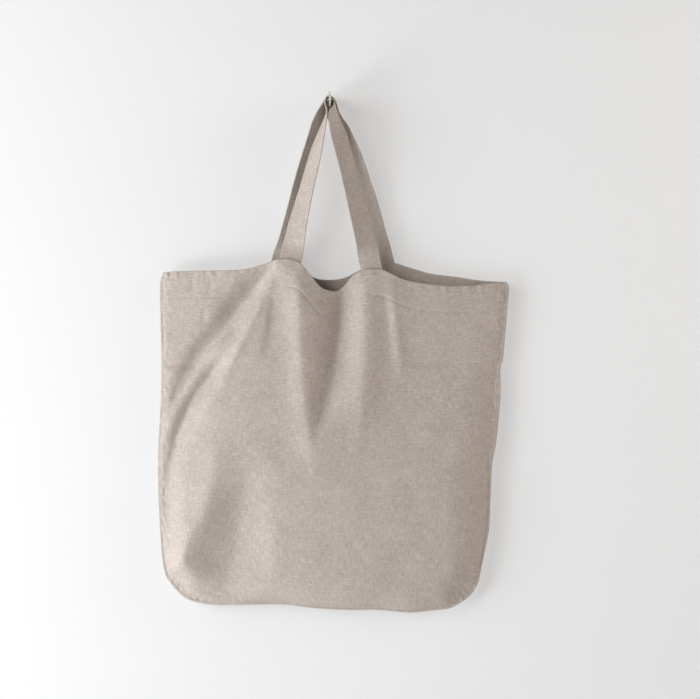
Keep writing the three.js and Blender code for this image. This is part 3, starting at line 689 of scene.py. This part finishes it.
def handle(name, rows, depth_at, inward):
    """One handle: a flat band that turns as it climbs, sewn onto a panel's inner face at both ends.
    inward is 1 where that face is toward the viewer and -1 where it is behind."""
    places = np.linspace(0, len(rows["x"]) - 1, (len(rows["x"]) - 1) * HANDLE_PER_ROW + 1)
    here = {key: spline(values, places) for key, values in rows.items()}
    dx, dz = np.gradient(here["x"]), np.gradient(here["z"])
    inner = unit(np.stack([dz, np.zeros(dx.shape), -dx], -1))[:, None]
    forward = unit(np.array([0, -1, -HOOK_SLOPE]))
    turn = np.radians(here["turn"])[:, None, None]
    width = inner * np.cos(turn) + forward * np.sin(turn)
    half_width = np.array(HANDLE_COLUMNS) - HANDLE_WIDTH / 2
    offset = np.concatenate([half_width, -half_width[-2::-1]])[None, :, None]
    free = np.stack([here["x"], -here["depth"], here["z"]], -1)[:, None] + width * offset
    side = np.sign(np.cos(turn)) * offset
    flat = np.stack([here["x"], here["z"]], -1)[:, None] + inner[..., [0, 2]] * side
    x, z = flat[..., 0], flat[..., 1]
    touching = (LINEN + WEBBING) / 2 + HEM_EXTRA + LAPPED_CLEARANCE
    lift = -inward * ((CLOTH - LINEN) / 2 - touching)
    lapped = np.stack([x, -depth_at(x, z), z], -1) + cloth_normal(depth_at, x, z) * lift
    sewn = smooth(here["sewn"])[:, None, None]
    band = free + (lapped - free) * sewn
    normal = grid_normals(band)
    from_edge = HANDLE_WIDTH / 2 - np.abs(offset[..., 0])
    thick = WEBBING / 2 * round_edge(from_edge, WEBBING / 2)
    thick = thick - groove(from_edge - HANDLE_STITCH_INSET, HANDLE_LINE)
    sides = [band + normal * thick[..., None] * sign for sign in (1, -1)]
    centre = band[:, len(HANDLE_COLUMNS) - 1]
    length = np.concatenate([[0], np.cumsum(np.linalg.norm(np.diff(centre, axis=0), axis=1))])
    cloth = np.stack(np.broadcast_arrays(offset[..., 0], length[:, None]), -1).reshape(-1, 2)
    points = np.concatenate([face.reshape(-1, 3) for face in sides])
    faces = grid_faces(*x.shape)[:, ::-1].tolist()
    piece = make_mesh(name, points, faces, np.concatenate([cloth, cloth]))
    return piece, {"band": band, "normal": normal, "thick": thick, "offset": offset[0, :, 0]}


# Materials


def add_node(tree, kind, inputs=None, **settings):
    """A shader node with its settings, and with its inputs linked or set."""
    node = tree.nodes.new(kind)
    for key, value in settings.items():
        setattr(node, key, value)
    for key, value in (inputs or {}).items():
        if isinstance(value, bpy.types.NodeSocket):
            tree.links.new(value, node.inputs[key])
        else:
            node.inputs[key].default_value = value
    return node


def maths(tree, operation, *values):
    return add_node(tree, "ShaderNodeMath", dict(enumerate(values)), operation=operation).outputs[0]


def scaled(tree, vector, factors):
    return add_node(tree, "ShaderNodeVectorMath", {0: vector, 1: factors}, operation="MULTIPLY").outputs[0]


def noise(tree, vector, cells, detail=2.0):
    """Noise with the given number of cells on each axis for each unit of the vector."""
    stretched = scaled(tree, vector, cells)
    inputs = {"Vector": stretched, "Scale": 1.0, "Detail": detail, "Roughness": 0.5}
    return add_node(tree, "ShaderNodeTexNoise", inputs).outputs["Fac"]


def map_range(tree, value, limits):
    """A value carried from one range to another, which is 0 to 1 where the limits don't give it."""
    return add_node(tree, "ShaderNodeMapRange", {0: value, **limits}).outputs[0]


def new_material(name):
    material = bpy.data.materials.new(name)
    material.use_nodes = True
    material.node_tree.nodes.clear()
    return material, material.node_tree


def two_tones(tree, share, colour, contrast):
    """A colour between a darker and a lighter one of the same hue."""
    mixed = add_node(tree, "ShaderNodeMix", data_type="RGBA")
    tree.links.new(share, mixed.inputs["Factor"])
    mixed.inputs[6].default_value = [channel * (1 - contrast) for channel in colour] + [1]
    mixed.inputs[7].default_value = [channel * (1 + contrast) for channel in colour] + [1]
    return mixed.outputs[2]


def linen_material(name, colour):
    """Plain-woven linen: threads of uneven thickness and tone, with slubs."""
    material, tree = new_material(name)
    uv = add_node(tree, "ShaderNodeUVMap", uv_map="cloth").outputs[0]
    cloth = scaled(tree, uv, (1 / MM, 1 / MM, 1 / MM))
    wander = noise(tree, cloth, WANDER_CELLS, 3.0)
    drift = maths(tree, "MULTIPLY", maths(tree, "SUBTRACT", wander, 0.5), WANDER)
    parts = add_node(tree, "ShaderNodeSeparateXYZ", {0: cloth})
    across = maths(tree, "ADD", parts.outputs[0], drift)
    along = maths(tree, "ADD", parts.outputs[1], drift)
    warp = maths(tree, "SINE", maths(tree, "MULTIPLY", across, math.pi / WARP_PITCH))
    weft = maths(tree, "SINE", maths(tree, "MULTIPLY", along, math.pi / WEFT_PITCH))
    weave = maths(tree, "MULTIPLY", warp, weft)
    weft_tone = noise(tree, cloth, WEFT_CELLS)
    warp_tone = noise(tree, cloth, WARP_CELLS)
    share = map_range(tree, parts.outputs[1], WEFT_SHARE)
    weft_share = maths(tree, "MULTIPLY", weft_tone, share)
    warp_share = maths(tree, "MULTIPLY", warp_tone, maths(tree, "SUBTRACT", SHARE_SUM, share))
    slub = map_range(tree, noise(tree, cloth, SLUB_CELLS, 1.0), SLUB_RANGE)
    mottle = noise(tree, cloth, MOTTLE_CELLS, 3.0)
    threads = maths(tree, "ADD", weft_share, warp_share)
    tone = maths(tree, "ADD", threads, maths(tree, "MULTIPLY", mottle, TONE["mottle"]))
    tone = maths(tree, "ADD", tone, maths(tree, "MULTIPLY", slub, TONE["slub"]))
    tone = maths(tree, "ADD", tone, maths(tree, "MULTIPLY", weave, TONE["weave"]))
    woven = maths(tree, "MULTIPLY", weave, RELIEF["weave"])
    height = maths(tree, "ADD", woven, maths(tree, "MULTIPLY", threads, RELIEF["threads"]))
    height = maths(tree, "ADD", height, maths(tree, "MULTIPLY", slub, RELIEF["slub"]))
    bump = add_node(tree, "ShaderNodeBump", {"Height": height, "Distance": 0.00035, "Strength": 0.8})
    shader = add_node(tree, "ShaderNodeBsdfPrincipled", {
        "Base Color": two_tones(tree, map_range(tree, tone, TONE_RANGE), colour, LINEN_CONTRAST),
        "Roughness": 0.9,
        "Specular IOR Level": 0.2,
        "Sheen Weight": 0.12,
        "Sheen Roughness": 0.5,
        "Normal": bump.outputs[0],
    })
    add_node(tree, "ShaderNodeOutputMaterial", {0: shader.outputs[0]})
    return material


def metal_material(name, colour):
    """Brushed steel, its scratches running along the bar."""
    material, tree = new_material(name)
    place_on_piece = add_node(tree, "ShaderNodeTexCoord").outputs["Object"]
    scratches = noise(tree, place_on_piece, SCRATCH_CELLS)
    rough = map_range(tree, scratches, SCRATCH_ROUGHNESS)
    bump = add_node(tree, "ShaderNodeBump", {"Height": scratches, "Distance": 0.00003, "Strength": 0.5})
    shader = add_node(tree, "ShaderNodeBsdfPrincipled", {
        "Base Color": (*colour, 1),
        "Metallic": 1.0,
        "Roughness": rough,
        "Normal": bump.outputs[0],
    })
    add_node(tree, "ShaderNodeOutputMaterial", {0: shader.outputs[0]})
    return material


def thread_material(name, colour):
    """Matt sewing thread with a fine twist."""
    material, tree = new_material(name)
    place_on_piece = add_node(tree, "ShaderNodeTexCoord").outputs["Object"]
    twist = noise(tree, place_on_piece, TWIST_CELLS, 1.0)
    bump = add_node(tree, "ShaderNodeBump", {"Height": twist, "Distance": 0.0001, "Strength": 0.5})
    shader = add_node(tree, "ShaderNodeBsdfPrincipled", {
        "Base Color": two_tones(tree, twist, colour, THREAD_CONTRAST),
        "Roughness": 0.8,
        "Specular IOR Level": 0.3,
        "Normal": bump.outputs[0],
    })
    add_node(tree, "ShaderNodeOutputMaterial", {0: shader.outputs[0]})
    return material


def grey(tone):
    return (tone, tone, tone, 1)


def floor_material():
    material, tree = new_material("floor")
    shader = add_node(tree, "ShaderNodeBsdfDiffuse", {"Color": grey(FLOOR_TONE)})
    add_node(tree, "ShaderNodeOutputMaterial", {0: shader.outputs[0]})
    return material


def backdrop_material():
    """A pale backdrop with faint shadows, clear from behind."""
    material, tree = new_material("backdrop")
    matt = add_node(tree, "ShaderNodeBsdfDiffuse", {"Color": grey(BACKDROP_TONE)})
    glow = add_node(tree, "ShaderNodeEmission", {"Color": grey(1.0), "Strength": BACKDROP_GLOW})
    front = add_node(tree, "ShaderNodeAddShader", {0: matt.outputs[0], 1: glow.outputs[0]})
    clear = add_node(tree, "ShaderNodeBsdfTransparent")
    back = add_node(tree, "ShaderNodeNewGeometry").outputs["Backfacing"]
    mixed = add_node(tree, "ShaderNodeMixShader", {0: back, 1: front.outputs[0], 2: clear.outputs[0]})
    add_node(tree, "ShaderNodeOutputMaterial", {0: mixed.outputs[0]})
    return material


# Sewing


def resample(points, directions, pitch):
    """Evenly spaced places along a line, with the direction of the line and of the cloth there."""
    lengths = np.concatenate([[0], np.cumsum(np.linalg.norm(np.diff(points, axis=0), axis=1))])
    count = int(lengths[-1] // pitch)
    wanted = (np.arange(count) + 0.5) * lengths[-1] / count

    def read(values):
        return np.stack([np.interp(wanted, lengths, values[:, k]) for k in range(3)], -1)

    return read(points), unit(read(np.gradient(points, axis=0))), unit(read(directions))


def stitch_points(place_on_line, along, out):
    """Points and faces of one row of stitches, each a short thread lying in the cloth."""
    sides = STITCH_SIDES
    aside = np.cross(along, out)
    rings = []
    for share, size, lift in STITCH_PROFILE:
        for corner in range(sides):
            angle = math.tau * corner / sides
            rings.append(
                place_on_line + along * share * STITCH["length"]
                + aside * size * STITCH["wide"] / 2 * math.cos(angle)
                + out * (lift * STITCH["thick"] + size * STITCH["thick"] / 2 * math.sin(angle)))
    points = np.stack(rings, 1)
    count, per_stitch = points.shape[:2]
    faces = []
    for ring in range(len(STITCH_PROFILE) - 1):
        for corner in range(sides):
            a, b = ring * sides + corner, ring * sides + (corner + 1) % sides
            faces.append((a, b, b + sides, a + sides))
    start = np.arange(count)[:, None, None] * per_stitch
    quads = (np.array(faces)[None] + start).reshape(-1, 4)
    caps = [list(range(sides))[::-1], list(range(per_stitch - sides, per_stitch))]
    ends = (np.array(caps)[None] + start).reshape(-1, sides)
    return points.reshape(-1, 3), quads, ends


def stitches(name, lines):
    """One piece of sewing from several lines, each given as points and the cloth's outward directions."""
    points, faces, count = [], [], 0
    for line, out in lines:
        made, quads, ends = stitch_points(*resample(line, out, STITCH["pitch"]))
        points.append(made)
        faces += (quads + count).tolist() + (ends + count).tolist()
        count += len(made)
    return make_mesh(name, np.concatenate(points), faces)


def hem_lines(sheet):
    """The hem's row of stitches on both faces of a panel."""
    lines = []
    for face, sign in (("outer", 1), ("inner", -1)):
        points, normals = [], []
        for column in range(sheet["below"].shape[1]):
            below = sheet["below"][:, column]
            row = int(np.argmax(below > HEM_STITCH_LINE))
            if row == 0:
                continue
            t = (HEM_STITCH_LINE - below[row - 1]) / (below[row] - below[row - 1])
            points.append(sheet[face][row - 1, column] * (1 - t) + sheet[face][row, column] * t)
            normals.append(sheet["normal"][row, column] * sign)
        points, normals = np.array(points), np.array(normals)
        length = np.concatenate([[0], np.cumsum(np.linalg.norm(np.diff(points, axis=0), axis=1))])
        keep = (length > HEM_SEAM_KEEP) & (length < length[-1] - HEM_SEAM_KEEP)
        lines.append((points[keep], normals[keep]))
    return lines


def handle_lines(strap):
    """Rows of stitches along both edges of a handle, on both its faces."""
    lines = []
    for side in (HANDLE_STITCH_INSET - HANDLE_WIDTH / 2, HANDLE_WIDTH / 2 - HANDLE_STITCH_INSET):
        column = int(np.argmin(np.abs(strap["offset"] - side)))
        for sign in (1, -1):
            face = strap["band"] + strap["normal"] * strap["thick"][..., None] * sign
            lines.append((face[:, column], strap["normal"][:, column] * sign))
    return lines


# The camera comes first, as the photo's view fixes all that follows

camera_data = bpy.data.cameras.new("camera")
camera_data.sensor_width = SENSOR
camera_data.lens = SENSOR * -CAMERA_PLACE[1] / FRAME_WIDTH
camera = bpy.data.objects.new("camera", camera_data)
camera.location = CAMERA_PLACE
camera.rotation_euler = (math.radians(90), 0, 0)
bpy.context.scene.collection.objects.link(camera)
bpy.context.scene.camera = camera

# The bag

linen = linen_material("linen", LINEN_COLOUR)
handle_linen = linen_material("handle_linen", HANDLE_COLOUR)
thread = thread_material("thread", THREAD_COLOUR)
hook_metal = metal_material("hook_metal", METAL_COLOUR)


def finish_piece(piece, material, slot, *nodes):
    """Gives a piece its material and its body, and hides the nodes it stands for. Its slot argument is not
    used.
    """
    piece.data.materials.append(material)
    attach(piece, "root")
    if nodes:
        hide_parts(*nodes)


front_sheet, front_faces = panel("front_sheet", FRONT_RIM, front_depth, 1)
back_sheet, back_faces = panel("back_sheet", BACK_RIM, back_depth, -1)
front_strap, front_band = handle("front_strap", FRONT_HANDLE, front_depth, -1)
back_strap, back_band = handle("back_strap", BACK_HANDLE, back_depth, 1)
front_hem_stitches = stitches("front_hem_stitches", hem_lines(front_faces))
back_hem_stitches = stitches("back_hem_stitches", hem_lines(back_faces))
front_strap_stitches = stitches("front_strap_stitches", handle_lines(front_band))
back_strap_stitches = stitches("back_strap_stitches", handle_lines(back_band))

finish_piece(front_sheet, linen, "linen", "front_panel")
finish_piece(back_sheet, linen, "linen", "back_panel")
finish_piece(front_strap, handle_linen, "handle_linen", "front_handle")
finish_piece(back_strap, handle_linen, "handle_linen", "back_handle")
for sewing in (front_hem_stitches, back_hem_stitches):
    finish_piece(sewing, thread, "linen")
for sewing in (front_strap_stitches, back_strap_stitches):
    finish_piece(sewing, thread, "handle_linen")

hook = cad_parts["wall_hook"]
hook.data.materials.clear()
hook.data.materials.append(hook_metal)

# Surroundings: a pale backdrop just behind the hook, a pale floor and soft light, mostly from the left


def stage_plane(name, corners, material):
    mesh = bpy.data.meshes.new(name)
    mesh.from_pydata(corners, [], [(0, 1, 2, 3)])
    mesh.materials.append(material)
    piece = bpy.data.objects.new(name, mesh)
    bpy.context.scene.collection.objects.link(piece)
    return piece


reach = STAGE_REACH
backdrop = stage_plane("backdrop", [
    (-reach, WALL_BEHIND, FLOOR_HEIGHT), (reach, WALL_BEHIND, FLOOR_HEIGHT),
    (reach, WALL_BEHIND, reach), (-reach, WALL_BEHIND, reach)],
    backdrop_material())
backdrop.visible_glossy = False
backdrop.visible_shadow = False
backdrop.visible_transmission = False
stage_plane("floor", [
    (-reach, -reach, FLOOR_HEIGHT), (reach, -reach, FLOOR_HEIGHT),
    (reach, reach, FLOOR_HEIGHT), (-reach, reach, FLOOR_HEIGHT)],
    floor_material())


def area_light(name, target, location, size, power, colour):
    data = bpy.data.lights.new(name, "AREA")
    data.shape = "SQUARE"
    data.size = size
    data.energy = power
    data.color = colour
    light = bpy.data.objects.new(name, data)
    aim = np.array(target) - np.array(location)
    light.location = location
    light.rotation_euler = (
        math.atan2(math.hypot(aim[0], aim[1]), -aim[2]), 0, math.atan2(aim[1], aim[0]) - math.pi / 2)
    bpy.context.scene.collection.objects.link(light)


for light_name, light_values in LIGHTS.items():
    area_light(light_name, BAG_CENTRE, **light_values)

# The world looks pale, and lights the bag more faintly than it looks
world = bpy.data.worlds.new("studio")
world.use_nodes = True
tree = world.node_tree
tree.nodes.clear()
seen = add_node(tree, "ShaderNodeBackground", WORLD_SEEN)
ambient = add_node(tree, "ShaderNodeBackground", WORLD_LIGHT)
camera_ray = add_node(tree, "ShaderNodeLightPath").outputs["Is Camera Ray"]
mixed = add_node(tree, "ShaderNodeMixShader", {0: camera_ray, 1: ambient.outputs[0], 2: seen.outputs[0]})
add_node(tree, "ShaderNodeOutputWorld", {0: mixed.outputs[0]})
bpy.context.scene.world = world
bpy.context.scene.view_settings.view_transform = "Standard"
